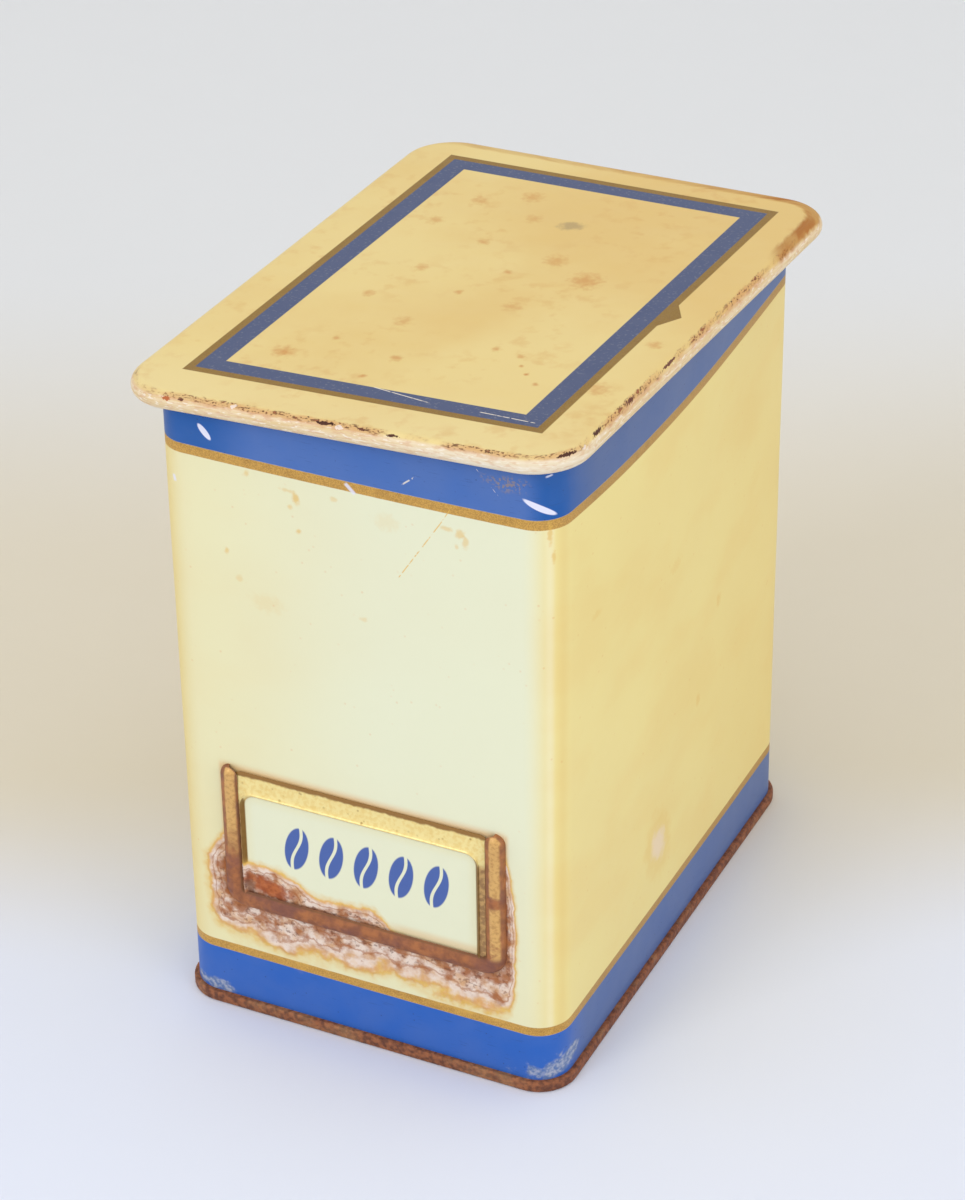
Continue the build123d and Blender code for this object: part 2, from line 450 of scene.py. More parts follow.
def wall_marks(p, colour):
    """Stains, scratches, knocks and amber round the label holder: rust stain beside its legs, painted
    reflection and shade over the plate's top edge.
    """
    for x, z, wide, high, strength in WALL_STAINS:
        spot = p.distance(x, z, wide, high).ragged(1.8, 0.7, 40, 4)
        colour = p.mix(spot.below(0.9, 0.5) * strength * 0.75, colour, STAIN)
    for start, end, width, broken, mark in WALL_SCRATCHES:
        colour = p.mix(p.stroke(start, end, width, broken) * 0.8, colour, mark)
    # two pale slivers on the band, near the front corners
    for sliver in WALL_SLIVERS:
        colour = p.mix(p.distance(*sliver).below(1.0, 0.12), colour, MARK_WHITE)
    # rubbed patch under the lid
    rubbed = p.distance(*RUBBED_PATCH).ragged(1.5, 0.4, 39, 4)
    rubbed = rubbed.below(0.8, 0.5) * p.noise(1.3, 41, 4).above(0.54, 0.05)
    colour = p.mix(rubbed * 0.7, colour, shade(150, 130, 110))
    # bright metal where the foot was knocked, at the front corners
    left, right = (p.distance(*knock) for knock in FOOT_KNOCKS)
    knocks = left.least(right).ragged(2.2, 0.3, 42, 6)
    bare = knocks.below(0.75, 0.25) * p.y.below(30.0, 1.0)
    worn = p.mix(p.noise(0.9, 43, 4).above(0.52, 0.14), shade(104, 124, 156), shade(190, 190, 188))
    colour = p.mix(bare * 0.7, colour, worn)
    # pale blister with an amber ring, low on the right wall
    blister = p.distance(*BLISTER).ragged(1.2, 0.3, 44, 4)
    colour = p.mix(blister.within(0.6, 1.6, 0.4) * 0.3, colour, STAIN)
    colour = p.mix(blister.below(0.75, 0.4) * 0.75, colour, shade(230, 206, 180))
    # amber on the wall round the plate's top edge and the legs: painted reflection and shade of the gold
    # plate over its top edge, rust stain beside the legs
    from_middle = abs(p.x - HOLDER_SHIFT)
    over = p.y.within(PLATE_TOP - 1.0, PLATE_TOP + 0.9, 1.5) * from_middle.below(HOLDER_HALF, 0.8)
    beside = abs(from_middle - HOLDER_HALF).below(0.3, 0.9) * p.y.within(34, HOLDER_TOP, 1.0)
    return p.mix(over.most(beside) * 0.75, colour, RUST_AMBER)


def wall_print():
    """Cream wall with a blue band and a gold line at top and foot, scratched and rusted."""
    p = Paint("printed_wall")
    from_front = abs(p.x)
    colour, lines = wall_bands(p, from_front, wall_cream(p, from_front))
    colour, rust, crumb = wall_rust(p, wall_marks(p, colour))
    grain = p.bump(p.noise(0.05, 45, 2) * 0.5, 0.4)
    normal = p.bump(crumb * rust, 0.45, grain)
    rough = 0.36 + rust * 0.45 + lines * 0.08 + p.noise(0.2, 46, 4) * 0.08
    return p.finish(colour, rough, normal, specular=0.3)


def inner_tinplate(name):
    """Bare dull tinplate with freckles of rust, inside the tin and under the lid."""
    p = Paint(name)
    cloud = p.noise(0.05, 51, 4)
    metal = p.mix(cloud.above(0.5, 0.2), shade(176, 170, 156), shade(140, 128, 104))
    freckle = p.noise(0.5, 52, 5).above(0.62, 0.06)
    colour = p.mix(freckle, metal, RUST_BROWN)
    rough = 0.38 + freckle * 0.4
    return p.finish(colour, rough, p.bump(cloud, 0.3), metallic=0.75)


def seam_rust():
    """The base seam: gold lacquer, mostly gone to brown rust, darker on the right."""
    p = Paint("rusted_seam")
    lacquer = p.noise(0.09, 61, 4).above(0.60, 0.08)
    brown = p.mix(p.noise(0.8, 62, 5).above(0.5, 0.15), shade(156, 94, 56), shade(104, 58, 36))
    brown = p.mix(p.x.above(52.0, 10.0) * 0.6, brown, shade(104, 50, 26))
    colour = p.mix(lacquer * 0.35, brown, shade(178, 134, 84))
    rough = 0.66 - lacquer * 0.2
    return p.finish(colour, rough, p.bump(p.noise(1.4, 63, 5), 0.5), metallic=0.1)


# Brown spots on the lid: place, size and how strong they are.
LID_SPOTS = (
    (-27.9, -49.3, 2.6, 0.5), (-24.8, -14.1, 1.6, 0.4), (-5.4, -5.7, 1.2, 0.5), (-2.2, -43.3, 1.6, 0.5),
    (-4.9, -54.4, 1.0, 0.6), (-20.1, -38.9, 1.0, 0.5), (-12.9, 22.6, 1.5, 0.4), (8.0, 19.3, 3.2, 0.25),
    (19.5, 11.5, 4.2, 0.45), (0.2, 9.0, 1.2, 0.5), (16.9, -30.5, 1.3, 0.5), (23.6, -31.8, 1.1, 0.5),
    (-10.0, -25.0, 2.4, 0.2), (10.0, -8.0, 2.6, 0.2), (-20.0, 4.0, 2.0, 0.2), (-8.0, 40.0, 2.2, 0.2),
    (29.0, -40.0, 0.7, 0.9), (26.0, -36.5, 0.6, 0.8), (33.0, -44.0, 0.8, 0.6), (-25.0, 45.0, 2.6, 0.3),
    (-30.0, 30.0, 2.2, 0.3), (47.0, -41.0, 3.4, 0.3), (49.0, -15.0, 2.0, 0.3), (-14.0, 52.0, 3.0, 0.25),
)
LID_SMUDGE = (2.5, 39.7, 3.0, 2.4, 30.0)
LID_SCRATCHES = (((0.3, -58.5), (15.7, -61.2)), ((28.0, -61.2), (41.5, -61.7)))
# Chips on the lid's rolled edge: place along and across it, half sizes, and what shows.
LID_CHIPS = (
    (-1.5, 1.5, 2.8, 0.5, RUST_BLACK),
    (1.9, 1.8, 1.1, 0.6, FLAKE_WHITE),
    (-24.9, 1.5, 0.9, 0.6, FLAKE_WHITE),
    (7.4, 1.4, 1.2, 0.4, RUST_DARK),
    (15.2, 1.6, 1.5, 0.4, RUST_BLACK),
    (-42.0, 2.4, 1.2, 0.5, RUST_ORANGE),
    (-38.0, 2.0, 0.8, 0.35, RUST_DARK),
    (56.0, 1.6, 2.6, 0.5, RUST_BLACK),
    (61.5, 1.8, 0.7, 0.5, FLAKE_WHITE),
    (68.0, 1.2, 2.2, 0.6, RUST_BLACK),
    (85.0, 1.2, 2.6, 0.6, RUST_DARK),
    (106.0, 1.3, 4.0, 0.4, RUST_DARK),
)


def lid_cream(p):
    """Yellowed cream with brown spots and a dark smudge."""
    deep = (p.noise(0.02, 71, 4) + p.y * 0.0014 + p.x * 0.0010).above(0.52, 0.2)
    cream = p.mix(deep * 0.6, CREAM_LID, CREAM_DEEP)
    cream = p.mix(p.y.below(-62.0, 12.0) * 0.5, cream, shade(231, 212, 152))
    mottle = p.noise(0.22, 72, 5).above(0.6, 0.1) * p.noise(0.035, 73, 2).above(0.5, 0.1)
    cream = p.mix(mottle * 0.3, cream, shade(206, 150, 74))
    for x, y, size, strength in LID_SPOTS:
        spot = p.distance(x, y, size * 0.9, size, 15).ragged(2.2, 0.7, 74, 4)
        cream = p.mix(spot.below(0.7, 0.8) * (0.35 + strength * 0.6), cream, shade(198, 128, 46))
    smudge = p.distance(*LID_SMUDGE).ragged(1.6, 0.6, 75, 4)
    return p.mix(smudge.below(0.9, 0.5) * 0.5, cream, shade(132, 112, 84))


def lid_frame(p, cream):
    """Blue frame with a gold line round it, and the gold tab on its right."""
    def frame_side(half):
        dx = abs(p.x - FRAME_CENTRE[0]) - half[0]
        dy = abs(p.y - FRAME_CENTRE[1]) - half[1]
        return dx.most(dy)

    outer, middle, inner = (frame_side(half) for half in (FRAME_OUTER, FRAME_MIDDLE, FRAME_INNER))
    tab = abs(p.y - TAB_PLACE[1]) * TAB_SLOPE + (p.x - TAB_PLACE[0])
    outer = outer.least((tab - TAB_LENGTH).most(TAB_PLACE[0] - p.x - 1.0))
    gold = speckled_gold(p, GOLD_LID, OLIVE, 3.0, 0.52)
    dust = p.noise(1.2, 76, 4).above(0.62, 0.05)
    blue = p.mix(dust * 0.25, BLUE_LID, shade(150, 150, 150))
    colour = p.mix(outer.below(0.0, 0.12), cream, gold)
    colour = p.mix(middle.below(0.0, 0.12), colour, blue)
    colour = p.mix(inner.below(0.0, 0.12), colour, cream)
    for start, end in LID_SCRATCHES:
        colour = p.mix(p.stroke(start, end, 0.26, 0.15), colour, CREAM_RUBBED)
    return colour


def lid_flank(p, colour):
    """The outside of the rolled edge: streaky, pale and pinkish flecks, and a painted highlight at the front
    right. Gives its streaks too.
    """
    streak = p.noise((0.06, 1.6, 1.0), 77, 4, p.edge)
    flank = p.mix(streak.above(0.52, 0.14), shade(219, 192, 142), shade(229, 208, 172))
    pink = p.noise((0.4, 1.2, 1.0), 80, 5, p.edge).above(0.56, 0.06)
    flank = p.mix(pink * 0.45, flank, shade(208, 160, 126))
    pale = p.noise((0.5, 1.6, 1.0), 86, 5, p.edge).above(0.60, 0.05)
    flank = p.mix(pale * 0.7, flank, shade(242, 232, 214))
    # painted highlight: the flank is whiter at the front right of the roll
    bright = p.along.within(20.0, 64.0, 16.0) * (1.0 - pink * 0.5)
    flank = p.mix(bright * 0.5, flank, shade(232, 225, 208))
    return p.mix(p.across.above(1.9, 0.5), colour, flank), streak


def lid_crest(p, colour, ragged):
    """The crest, rubbed and chipped at the front and on the right. Gives its tan and specks too."""
    worn = p.along.within(-56.0, 178.0, 8.0)
    busy = p.noise(0.07, 82, 3, p.edge).above(0.42, 0.1) * worn
    tanned = ragged.within(0.6, 2.4, 0.5) * busy
    colour = p.mix(tanned * 0.55, colour, shade(198, 136, 88))
    fine = p.noise((1.3, 2.0, 1.0), 89, 5, p.edge).above(0.60, 0.04)
    coarse = p.noise((0.55, 1.1, 1.0), 81, 5, p.edge).above(0.61, 0.03)
    specks = fine.most(coarse) * ragged.within(0.5, 1.8, 0.3)
    dark = p.mix(p.noise(0.4, 87, 3, p.edge).above(0.57, 0.06), shade(146, 76, 44), RUST_BLACK)
    colour = p.mix(specks * busy * 0.85, colour, dark)
    for along, across, long, wide, chip in LID_CHIPS:
        spot = p.distance(along, across, long, wide, place=(p.along, p.across))
        spot = spot.ragged(2.6, 1.6, 88, 5, p.edge)
        colour = p.mix(spot.below(0.85, 0.15), colour, chip)
    return colour, tanned, specks * busy


def lid_corner_rust(p, colour, ragged):
    """Heavy rust round the right back corner, fading along the back. Gives its share too."""
    behind = p.along.above(171.0, 7.0) * (1.0 - p.along.above(222.0, 12.0) * 0.5)
    behind = behind.most(p.along.below(-204.0, 8.0) * 0.5)
    heavy = behind * ragged.within(-1.6, 2.0, 0.7)
    patchy = 0.55 + p.noise(0.12, 83, 3, p.edge).above(0.5, 0.12) * 0.4
    return p.mix(heavy * patchy, colour, shade(168, 104, 40)), heavy


def lid_print():
    """Yellowed cream lid with a blue and gold frame, spotted, and rubbed bare along its crest."""
    p = Paint("printed_lid")
    ragged = p.across.ragged(2.0, 0.4, 79, 5, p.edge)
    colour, streak = lid_flank(p, lid_frame(p, lid_cream(p)))
    colour, tanned, specks = lid_crest(p, colour, ragged)
    colour, heavy = lid_corner_rust(p, colour, ragged)
    rough = 0.33 + tanned * 0.2 + heavy * 0.3 + p.noise(0.2, 84, 4) * 0.08
    pits = (specks + heavy * streak).least(1.0)
    normal = p.bump(pits, 0.25, p.bump(p.noise(0.045, 85, 2), 0.45))
    return p.finish(colour, rough, normal, specular=0.3)


def holder_gold():
    """Half-round label holder: gold lacquer on its crest, rust along its edges and all the bar, and painted
    shade browning its left-facing slopes.
    """
    p = Paint("rusted_holder")
    gold = speckled_gold(p, shade(214, 168, 98), shade(168, 116, 60), 1.2, 0.56)
    from_leg = abs(p.x - HOLDER_SHIFT) - HOLDER_HALF + HOLDER_BEAD
    on_right = p.x.above(0.0, 1.0)
    across = p.select(on_right, from_leg * -1.0, from_leg).ragged(0.5, 0.5, 91, 4)
    brown = p.mix(p.noise(0.5, 92, 5).above(0.5, 0.16), shade(166, 101, 54), shade(134, 78, 44))
    brown = p.mix(p.noise(0.16, 97, 3).above(0.56, 0.1) * 0.6, brown, shade(112, 66, 60))
    # painted shade: the left-facing slopes are browned; the other brown edges are rust
    shaded_left_slope = across.below(-0.75, 0.3)
    right_foot = across.above(1.75, 0.3)
    low = p.height.ragged(0.5, 0.7, 98, 3).below(1.15, 0.2)
    edges = shaded_left_slope.most(right_foot).most(low)
    colour = p.mix(edges * 0.92, gold, brown)
    ragged = p.y.ragged(16.0, 0.3, 93, 4)
    eaten = p.select(on_right, ragged.below(51.0, 6.0), ragged.below(37.5, 2.0))
    eaten = eaten.most(p.y.below(HOLDER_BOTTOM + 2 * HOLDER_BEAD + 0.5, 1.2))
    patch = p.distance(35.0, 53.5, 3.0, 1.8).ragged(1.2, 0.6, 94, 4)
    eaten = eaten.most(patch.below(0.9, 0.35))
    colour = p.mix(eaten, colour, brown)
    under = p.height.below(1.6, 0.5) * eaten
    colour = p.mix(under * 0.35, colour, RUST_DARK)
    lip = p.edge_line(p.across, HOLDER_BEAD - 0.55, 0.3)
    colour = p.mix(lip * 0.6, colour, shade(104, 70, 30))
    rust_and_shade = (edges * 0.6).most(eaten)
    normal = p.bump(p.noise(0.8, 96, 5) * rust_and_shade, 0.25)
    return p.finish(colour, 0.34 + rust_and_shade * 0.3, normal, metallic=0.2 * (1.0 - rust_and_shade))


BEAN_PLACES = [(-17.2 + 9.3 * i, 53.0) for i in range(5)]
BEAN_HALF = (3.1, 6.3)
BEAN_LEAN = 12.0


def bean(p, x, z):
    """Outline and groove of a printed coffee bean, leaning to the right."""
    shape = p.distance(x, z, *BEAN_HALF, -BEAN_LEAN)
    lean = math.tan(math.radians(BEAN_LEAN))
    groove = abs(p.x - x - (p.y - z) * lean - p.math("SINE", (p.y - z) * 0.5) * 0.6)
    return shape.below(1.0, 0.05) * groove.above(0.42, 0.1)


def plate_rust(p, colour):
    """Rust eaten in at the lower left of the window, orange in its middle."""
    steps = p.x.above(-18.0, 5.0) * -4.4 + p.x.above(6.0, 3.0) * -5.0
    reach = 1.0 + (p.y - 45.0 - steps) / 6.0
    rusted, rust, crumb = rust_layers(p, reach.most(0.24), colour)
    glow = p.distance(-25.5, 39.0, 7.5, 3.2, -16).ragged(1.6, 0.4, 106, 4)
    burnt = p.mix(p.noise(0.5, 108, 4).above(0.5, 0.1), RUST_ORANGE, shade(150, 72, 34))
    rusted = p.mix(glow.below(0.8, 0.3) * 0.9, rusted, burnt)
    pit = p.distance(-30.4, 38.0, 1.6, 4.4, 12).ragged(1.8, 0.7, 107, 4)
    rusted = p.mix(pit.below(0.7, 0.4) * 0.75, rusted, RUST_DARK)
    place = p.y.below(52.0, 2.0) * p.x.below(11.0, 2.0)
    return p.mix(place, colour, rusted), rust * place, crumb


def plate_window(p, from_window):
    """Cream window with a row of coffee beans, with painted shade in tan at its lower right, above the
    holder's bar.
    """
    cream = p.mix(from_window.above(-1.5, 1.5) * 0.2, CREAM_FRONT, CREAM_SIDE)
    for place in BEAN_PLACES:
        cream = p.mix(bean(p, *place), cream, BEAN_BLUE)
    # painted shade: tan at the lower right of the window, just above the holder's bar
    tan = p.y.below(38.6, 1.2) * p.x.above(8.0, 4.0)
    return p.mix(tan * 0.6, cream, shade(222, 188, 134))


def plate_border(p, beside):
    """Gold border, mottled beside the window, with painted shade dark along its top edge."""
    gold = speckled_gold(p, GOLD_PLATE, shade(226, 192, 110), 1.0, 0.52)
    specks = p.cells(0.5, 101).below(0.16, 0.07) * p.noise(0.2, 102).above(0.52, 0.08)
    gold = p.mix(specks * 0.6, gold, GOLD_DARK)
    mottle = p.mix(p.noise(0.9, 103, 4).above(0.48, 0.12), shade(200, 160, 100), shade(160, 122, 78))
    gold = p.mix(beside * p.y.below(62.5, 1.0), gold, mottle)
    # painted shade: dark along the plate's top edge
    ragged = p.y.ragged(1.2, 0.5, 105, 4)
    return p.mix(ragged.above(PLATE_TOP - 1.1, 0.3), gold, shade(146, 106, 52))


def plate_print():
    """Label plate: raised gold border round a cream window printed with a row of coffee beans."""
    p = Paint("printed_plate")
    dx = abs(p.x - WINDOW_CENTRE[0]) - WINDOW_HALF[0] + PLATE_CORNER
    dy = abs(p.y - WINDOW_CENTRE[1]) - WINDOW_HALF[1] + PLATE_CORNER
    out_x, out_y = dx.most(0.0), dy.most(0.0)
    corner = p.math("SQRT", out_x * out_x + out_y * out_y)
    from_window = corner + dx.most(dy).least(0.0) - PLATE_CORNER
    beside = abs(p.x - WINDOW_CENTRE[0]).above(WINDOW_HALF[0] - 0.2, 0.3)
    gold = plate_border(p, beside)
    colour = p.mix(from_window.above(0.0, 0.1), plate_window(p, from_window), gold)
    line = abs(from_window - 0.2).below(0.2, 0.25)
    colour = p.mix(line * 0.55, colour, shade(176, 130, 62))
    # painted shade: olive on the left and right bevels of the sunk window
    bevel_shade = from_window.within(-0.1, 0.9, 0.2) * beside
    colour = p.mix(bevel_shade * 0.9, colour, OLIVE)
    colour, rust, crumb = plate_rust(p, colour)
    border = from_window.above(0.0, 0.08) * (1.0 - rust)
    normal = p.bump(crumb * rust, 0.45, p.bump(p.noise(0.12, 104, 2), 0.25))
    rough = 0.36 + rust * 0.4 - border * 0.06
    return p.finish(colour, rough, normal, metallic=border * 0.2, specular=0.35)


# ---- meshes ----
Row = namedtuple("Row", "points spots edges")


def outline(half, corner, side_steps=(40, 56), corner_steps=12):
    """Round a rounded rectangle, from the middle of the back past the left side to the front and on.

    Gives the places, the outward directions, and the length along from the middle of the front,
    which has one value more for the place where the outline closes.
    """
    reach_x, reach_y = half[0] - corner, half[1] - corner
    arc = corner * math.pi / 2
    steps_x, steps_y = side_steps
    sides = (
        ((0, half[1]), (-reach_x, half[1]), 90, steps_x // 2),
        ((-half[0], reach_y), (-half[0], -reach_y), 180, steps_y),
        ((-reach_x, -half[1]), (reach_x, -half[1]), 270, steps_x),
        ((half[0], -reach_y), (half[0], reach_y), 360, steps_y),
        ((reach_x, half[1]), (0, half[1]), 450, steps_x // 2),
    )
    places, ways, lengths = [], [], []
    at = -2 * reach_x - 2 * reach_y - 2 * arc
    closing = -at
    for start, end, angle, steps in sides:
        turn = math.radians(angle)
        run = math.dist(start, end)
        for share in np.arange(steps) / steps:
            places.append(tuple(a + (b - a) * share for a, b in zip(start, end)))
            ways.append((math.cos(turn), math.sin(turn)))
            lengths.append(at + run * share)
        at += run
        if angle == 450:
            break
        middle = (end[0] - corner * math.cos(turn), end[1] - corner * math.sin(turn))
        for share in np.arange(corner_steps) / corner_steps:
            way = (math.cos(turn + share * math.pi / 2), math.sin(turn + share * math.pi / 2))
            places.append((middle[0] + corner * way[0], middle[1] + corner * way[1]))
            ways.append(way)
            lengths.append(at + arc * share)
        at += arc
    return np.array(places), np.array(ways), np.array(lengths + [closing])


def closed(values):
    """The values with the first one again at the end."""
    return np.concatenate([values, values[:1]])


def widened(values, *levels):
    """The values with a column added for each level, the same in every row."""
    return np.column_stack([values] + [np.full(len(values), level) for level in levels])


def level_row(places, lengths, z, across=0.0):
    """Row at one height, its edges measured along the outline and at one distance across."""
    return Row(widened(places, z), widened(closed(places), z), widened(lengths, across, z))


def loft(rows, slots=None, caps=(False, False), ring=False):
    """Faces between rows of points. Rows whose spots have one more entry are closed loops.

    slots gives the material of the faces after each row, caps close the first and last row, and
    ring joins the last row to the first.
    """
    count = len(rows[0].points)
    wraps = len(rows[0].spots) > count
    faces, corners, materials = [], [], []
    for r in range(len(rows) if ring else len(rows) - 1):
        after = (r + 1) % len(rows)
        for i in range(count if wraps else count - 1):
            j = (i + 1) % count
            faces.append((r * count + i, r * count + j, after * count + j, after * count + i))
            corners += [(r, i), (r, i + 1), (after, i + 1), (after, i)]
            materials.append(slots[r] if slots else 0)
    for r, wanted in zip((0, len(rows) - 1), caps):
        if wanted:
            faces.append(tuple(range(r * count, (r + 1) * count)))
            corners += [(r, i) for i in range(count)]
            materials.append(slots[r] if slots else 0)
    return faces, corners, materials


def add(name, data):
    """A new object in the scene."""
    thing = bpy.data.objects.new(name, data)
    bpy.context.scene.collection.objects.link(thing)
    return thing


def show(name, rows, materials, body, slot, replaced, **options):
    """Makes a piece from rows in millimetres and hangs it on the frame in place of a CAD node."""
    faces, corners, indices = loft(rows, **options)
    mesh = bpy.data.meshes.new(name)
    points = np.concatenate([row.points for row in rows]) * MM
    mesh.from_pydata(points.tolist(), [], faces)
    for field in ("spots", "edges"):
        attribute = mesh.attributes.new(field[:-1], "FLOAT_VECTOR", "CORNER")
        values = [getattr(rows[r], field)[i] for r, i in corners]
        attribute.data.foreach_set("vector", np.array(values, float).ravel())
    for material in materials:
        mesh.materials.append(material)
    mesh.polygons.foreach_set("material_index", indices)
    work = bmesh.new()
    work.from_mesh(mesh)
    bmesh.ops.recalc_face_normals(work, faces=work.faces)
    work.to_mesh(mesh)
    work.free()
    mesh.polygons.foreach_set("use_smooth", [True] * len(mesh.polygons))
    mesh.set_sharp_from_angle(angle=math.radians(38))
    piece = add(name, mesh)
    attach(piece, body)
    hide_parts(replaced)


def rise(z):
    """How much of a wall's bow there is at a height: none at the foot, all at the upper gold line."""
    return np.clip(z / UPPER_GOLD[0], 0, 1) ** 1.2


def dent(length, z):
    """Shallow unevenness of the old sheet."""
    wave = np.sin(length / 23 + 1.3) * math.sin(z / 31 + 0.4)
    wave += 0.6 * np.sin(length / 11 + z / 17) * np.sin(z / 13 - length / 29)
    fade = min(1.0, max(0.0, (z - 3) / 20)) * min(1.0, max(0.0, (RIM_Z - z) / 12))
    return 0.07 * wave * fade


def front_wall(x, z):
    """Y of the front wall."""
    lean = BODY_FLARE * (1 - z / RIM_Z)
    bow = BOW["front"] * rise(z) * (1 - (x / BODY_HALF[0]) ** 2)
    return -(BODY_HALF[1] + lean + bow)


def wall_row(z, offset=0.0):
    """The wall's outline at a height, bowed and dented, moved outward by an offset."""
    share = 1 - z / RIM_Z
    half = BODY_HALF + BODY_FLARE * share
    corner = BODY_CORNER + (BODY_CORNER_FOOT - BODY_CORNER) * share
    places, ways, lengths = outline(half, corner)
    out = offset + dent(lengths[:-1], z)
    for side, axis, sign in (("front", 1, -1), ("back", 1, 1), ("right", 0, 1), ("left", 0, -1)):
        across = places[:, 1 - axis] / half[1 - axis]
        skew = 1 - 0.35 * across if side == "right" else 1
        swell = np.clip(1 - across ** 2, 0, 1) * np.clip(ways[:, axis] * sign, 0, 1) * skew
        out = out + BOW[side] * rise(z) * swell
    places = places + ways * np.reshape(out, (-1, 1))
    return Row(widened(places, z), widened(lengths, z, 0.0), widened(lengths, offset, z))


def make_body():
    """Wall with a hem folded inward at the mouth; open at the foot, where the base closes it."""
    shoulder = RIM_Z - RIM_ROUND
    fold = SHEET + 0.1
    rows = [wall_row(z) for z in np.linspace(WALL_FOOT, shoulder, 58)]
    for turn in np.radians((45, 90, 135)):
        rows.append(wall_row(shoulder + RIM_ROUND * math.sin(turn), -fold * (1 - math.cos(turn))))
    printed = len(rows)
    rows += [wall_row(shoulder, -2 * fold), wall_row(RIM_Z - HEM, -2 * fold)]
    rows += [wall_row(RIM_Z - HEM - 0.05, -SHEET)]
    rows += [wall_row(z, -SHEET) for z in np.linspace(RIM_Z - HEM - 2, WALL_FOOT, 30)]
    slots = [0] * printed + [1] * (len(rows) - printed)
    paints = [wall_print(), inner_tinplate("inside_wall")]
    show("Body", rows, paints, "tin", "cream_print", "body_wrap", slots=slots, ring=True)


def make_lock_seam():
    """Upright folded seam inside the back wall."""
    rows = []
    for z in np.linspace(SEAM_TOP + 1, RIM_Z - HEM - 0.5, 12):
        wall = BODY_HALF[1] + BODY_FLARE * (1 - z / RIM_Z) + BOW["back"] * rise(z) - SHEET
        section = [(-3.0, 0.0), (-3.0, -0.5), (-2.8, -0.7), (2.8, -0.7), (3.0, -0.5), (3.0, 0.0)]
        points = np.array([(x, wall + y + 0.02, z) for x, y in section])
        spots = closed(np.array([(x, z, 0.0) for x, y in section]))
        rows.append(Row(points, spots, spots))
    paint = inner_tinplate("lock_seam")
    show("Lock_seam", rows, [paint], "tin", "bare_tinplate", "body_wrap", caps=(True, True))


def make_base():
    """Base: raised panel and the rounded double seam that closes on the wall's foot."""
    panel_z = SEAM_TOP - 0.3
    middle, low, high = SEAM_OUT - SEAM_ROUND, SEAM_ROUND, SEAM_TOP - SEAM_ROUND
    section = [(-0.5, panel_z), (-0.5, 0.9), (-0.35, 0.3), (0.1, 0.0), (0.7, 0.0)]
    for z, angles in ((low, (-60, -30, 0)), (high, (0, 30, 60, 90))):
        for a in np.radians(angles):
            section.append((middle + SEAM_ROUND * math.cos(a), z + SEAM_ROUND * math.sin(a)))
    section.append((0.02, SEAM_TOP - 0.02))
    rows = [panel_row(share, panel_z) for share in (0.12, 0.4, 0.8, 0.92)]
    rows += [seam_row(out, z) for out, z in section]
    show("Base", rows, [seam_rust()], "tin", "rusted_tinplate", "base_pan", caps=(True, False))


def seam_row(out, z):
    """Row of the base seam, at an offset outside the wall's foot."""
    half = BODY_HALF + BODY_FLARE + out
    places, _, lengths = outline(half, BODY_CORNER_FOOT + out)
    return level_row(places, lengths, z, out)


def panel_row(share, z):
    """Row of the base panel, shrunk towards the middle."""
    places, _, lengths = outline(BODY_HALF + BODY_FLARE - 0.5, BODY_CORNER_FOOT - 0.5)
    return level_row(places * share, lengths, z)


def seated(row):
    """The row of a level lid with its top at 0, carried to how the loose lid sits on the tin."""
    points = np.array(row.points, float)
    points[:, 2] += LID_TWIST * points[:, 0] * points[:, 1]
    about_x, about_y, about_z = (math.radians(angle) for angle in LID_TURN)
    turn = Matrix.Rotation(about_z, 3, "Z") @ Matrix.Rotation(about_y, 3, "Y")
    turn = np.array(turn @ Matrix.Rotation(about_x, 3, "X"))
    return row._replace(points=points @ turn.T + np.array(LID_SHIFT))


def lid_row(inset, z, across, share=1.0):
    """Row of the lid, its outline moved in from the rim, or shrunk towards the middle."""
    places, _, lengths = outline(LID_HALF - inset, LID_CORNER - inset)
    return seated(level_row(places * share, lengths, z, across))


def make_lid():
    """Flat lid whose edge is rolled under into an open bead."""
    rows = [lid_row(LID_FLAT, 0.0, -20.0, share) for share in (0.02, 0.2, 0.4, 0.6, 0.8, 0.92, 1.0)]
    rows += [lid_row(inset, 0.0, LID_ROLL - inset) for inset in (7.0, 5.0, 4.0, 3.2)]
    for angle in range(90, -181, -15):
        turn = math.radians(angle)
        inset = LID_ROLL - LID_ROLL * math.cos(turn)
        z = -LID_ROLL + LID_ROLL * math.sin(turn)
        rows.append(lid_row(inset, z, LID_ROLL * math.radians(90 - angle)))
    printed = len(rows) - 5
    inner = LID_ROLL - SHEET
    for angle in range(-180, 91, 22):
        turn = math.radians(angle)
        inset = LID_ROLL - inner * math.cos(turn)
        rows.append(lid_row(inset, -LID_ROLL + inner * math.sin(turn), 6.0))
    rows += [lid_row(LID_FLAT, -SHEET, 6.0, share) for share in (1.0, 0.8, 0.6, 0.4, 0.2, 0.02)]
    slots = [0] * printed + [1] * (len(rows) - printed)
    paints = [lid_print(), inner_tinplate("lid_inside")]
    show("Lid", rows, paints, "lid", "lid_print", "lid_panel", slots=slots, caps=(True, True))


def make_collar():
    """Upright ring under the lid with a flange soldered to it."""
    def row(inset, z):
        places, _, lengths = outline(COLLAR_HALF - inset, COLLAR_CORNER - inset)
        return seated(level_row(places, lengths, z))

    top, foot = -SHEET - 0.02, -SHEET - COLLAR_DEPTH
    section = [(COLLAR_FLANGE, top), (0.4, top), (0.1, top - 0.12), (0.0, top - 0.5)]
    section += [(0.0, z) for z in np.linspace(top - 3, foot, 6)]
    section += [(SHEET, z) for z in np.linspace(foot, top - SHEET, 6)]
    section += [(COLLAR_FLANGE, top - SHEET)]
    rows = [row(inset, z) for inset, z in section]
    paint = inner_tinplate("collar_tinplate")
    show("Collar", rows, [paint], "lid", "bare_tinplate", "lid_collar", ring=True)


